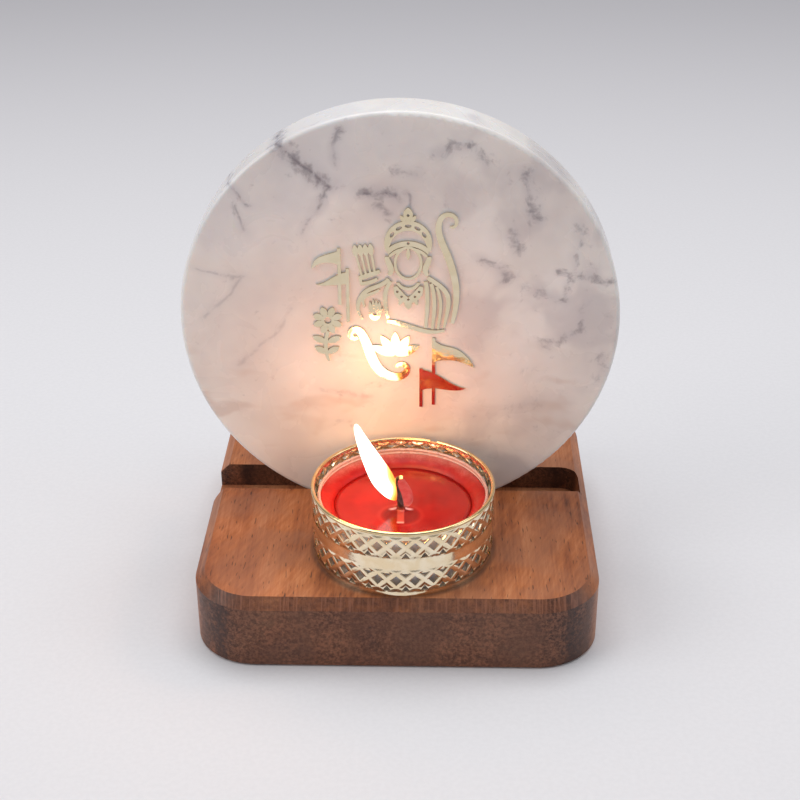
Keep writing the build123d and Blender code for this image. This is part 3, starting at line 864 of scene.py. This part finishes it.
def flame_piece():
    """A leaning tear of light, flatter from front to back."""
    flatness = 0.8
    rings = []
    side = Vector((0, 1, 0))
    rightward = side.cross(flame_rise.normalized())
    for share, left, right in FLAME_OUTLINE:
        middle = flame_root + flame_rise * share + rightward * ((right - left) / 2 * MM)
        half = (left + right) / 2 * MM
        rings.append(ring_round(middle, rightward * half, side * half * flatness, 16))
    bm = bmesh.new()
    wrapped_rings(bm, rings, closed=False)
    piece = mesh_piece("flame", bm, flame_light())
    smoothed(piece)
    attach(piece, "candle")


# The wick's line above its foot plate: right, up from the liquid, and thickness, in millimetres.
WICK_LINE = (
    (0.00, -9.0, 1.5),
    (0.00, -1.0, 1.5),
    (0.00, 1.0, 1.5),
    (-0.20, 2.8, 1.4),
    (-0.75, 4.6, 1.25),
    (-1.20, 6.2, 1.1),
    (-1.25, 7.4, 1.0),
    (-0.75, 8.2, 0.9),
    (0.00, 8.5, 0.9),
    (0.45, 8.4, 0.7),
)


def wick_piece():
    """The cord: upright in the wax, then bent left and hooked over at its end."""
    rings = []
    foot = Vector((wick_foot.x, wick_foot.y, pool_level))
    spots = [Vector((x, 0.0, z)) * MM for x, z, _ in WICK_LINE]
    side = Vector((0, 1, 0))
    last = len(spots) - 1
    for i, (_, _, width) in enumerate(WICK_LINE):
        ahead = (spots[min(i + 1, last)] - spots[max(i - 1, 0)]).normalized()
        half = width / 2 * MM
        rings.append(ring_round(foot + spots[i], side.cross(ahead) * half, side * half, 12))
    bm = bmesh.new()
    wrapped_rings(bm, rings, closed=False)
    piece = mesh_piece("wick_cord", bm, burnt_wick())
    smoothed(piece)
    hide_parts("wick")
    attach(piece, "candle")


def haze_piece():
    """The thin cool zone of the flame on the wick's right."""
    start = 0.9 * MM
    top = wick_high.z - pool_level - 1.2 * MM
    offset, lean = 1.3 * MM, 1.4 * MM
    widest = 1.9 * MM
    steps = 18
    rings = []
    for i in range(1, steps):
        share = i / steps
        right = wick_foot.x + offset - lean * share
        middle = Vector((right, wick_foot.y, pool_level + start + top * share))
        half = widest * math.sin(math.pi * share**0.7) ** 0.8
        rings.append(ring_round(middle, Vector((half, 0, 0)), Vector((0, half, 0)), 24))
    bm = bmesh.new()
    wrapped_rings(bm, rings, closed=False)
    piece = mesh_piece("flame_haze", bm, flame_haze())
    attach(piece, "candle")


def dress(node, finish, edge=0.0):
    """Gives a CAD piece its finish and, where edge is given, edges softened by that width."""
    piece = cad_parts[node]
    piece.data.materials.clear()
    piece.data.materials.append(finish)
    if edge:
        softened = piece.modifiers.new("softened edges", "BEVEL")
        softened.width = edge
        softened.segments = 3
        softened.limit_method = "ANGLE"
        softened.angle_limit = math.radians(35)
        softened.harden_normals = True


def dress_parts():
    """Gives every CAD piece that stays in view its finish."""
    dress("wood_base", hardwood(), edge=0.35 * MM)
    dress("marble_disc", marble())
    cut_out = gilt("gilt cut-out", (0.80, 0.68, 0.46), (0.86, 0.75, 0.54), 0.07, 0.10)
    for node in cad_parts:
        if node.startswith("emblem_"):
            dress(node, cut_out, edge=0.12 * MM)
    dress("holder_band", embossed_gilt())
    rolled = gilt("rolled gilt", (0.80, 0.60, 0.30), (0.88, 0.72, 0.44), 0.12, 0.3)
    dress("holder_rim", rolled)
    dress("holder_floor", rolled)
    dress("tealight_cup", cup_aluminium())
    dress("wick_sustainer", tinned_steel())


# --- Surroundings ---
def floor():
    """A plain square of paper under the object."""
    half = 3.0
    bm = bmesh.new()
    for x, y in ((-half, -half), (half, -half), (half, half), (-half, half)):
        bm.verts.new((x, y, 0.0))
    bm.faces.new(bm.verts)
    piece = mesh_piece("floor", bm, floor_paper())


def softbox(name, place, target, size, power, colour=(1.0, 1.0, 1.0)):
    """A rectangular light at a place, facing a target."""
    light = bpy.data.lights.new(name, "AREA")
    light.shape = "RECTANGLE"
    light.size, light.size_y = size
    light.energy = power
    light.color = colour
    lamp = bpy.data.objects.new(name, light)
    bpy.context.scene.collection.objects.link(lamp)
    lamp.location = place
    lamp.rotation_euler = (Vector(target) - Vector(place)).to_track_quat("-Z", "Y").to_euler()


def candle_glow():
    """The flame's own light, high in the flame; it moves with the candle."""
    glow = bpy.data.lights.new("candle glow", "POINT")
    glow.energy = 0.038
    glow.color = (1.0, 0.45, 0.17)
    glow.shadow_soft_size = 8.0 * MM
    lamp = bpy.data.objects.new("candle glow", glow)
    bpy.context.scene.collection.objects.link(lamp)
    lamp.location = flame_root + flame_rise * 0.65
    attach(lamp, "candle")


def lighting():
    """A large box overhead, a box on each side, the candle and a pale grey studio."""
    softbox("overhead", (0.0, 0.15, 0.9), (0, 0, 0.03), (0.9, 0.7), 6.2)
    softbox("left", (-0.75, -0.25, 0.45), (0, 0, 0.04), (0.5, 0.6), 2.4, (1.0, 0.98, 0.96))
    softbox("right", (0.8, -0.1, 0.4), (0, 0, 0.04), (0.5, 0.5), 1.15, (0.97, 0.98, 1.0))
    candle_glow()
    world = bpy.data.worlds.new("studio")
    world.use_nodes = True
    background = world.node_tree.nodes["Background"].inputs
    background["Color"].default_value = (0.88, 0.88, 0.92, 1.0)
    background["Strength"].default_value = 0.36
    bpy.context.scene.world = world
    bpy.context.scene.view_settings.view_transform = "Standard"


def camera():
    """Stands in front, a little to the right, and looks down at the plaque."""
    place = Vector((8.23, -305.25, 209.76)) * MM
    pitch, yaw, roll = (math.radians(angle) for angle in (28.72, -1.535, -0.28))
    level = math.cos(pitch)
    ahead = Vector((math.sin(yaw) * level, math.cos(yaw) * level, -math.sin(pitch)))
    lens = bpy.data.cameras.new("camera")
    lens.sensor_width = 36.0
    lens.lens = 67.3
    lens.clip_start = 0.01
    eye = bpy.data.objects.new("camera", lens)
    bpy.context.scene.collection.objects.link(eye)
    eye.location = place
    turn = ahead.to_track_quat("-Z", "Y") @ Quaternion((0, 0, 1), roll)
    eye.rotation_euler = turn.to_euler()
    bpy.context.scene.camera = eye


dress_parts()
set_wax_piece()
liquid_wax_piece()
wick_piece()
flame_piece()
haze_piece()
floor()
lighting()
camera()
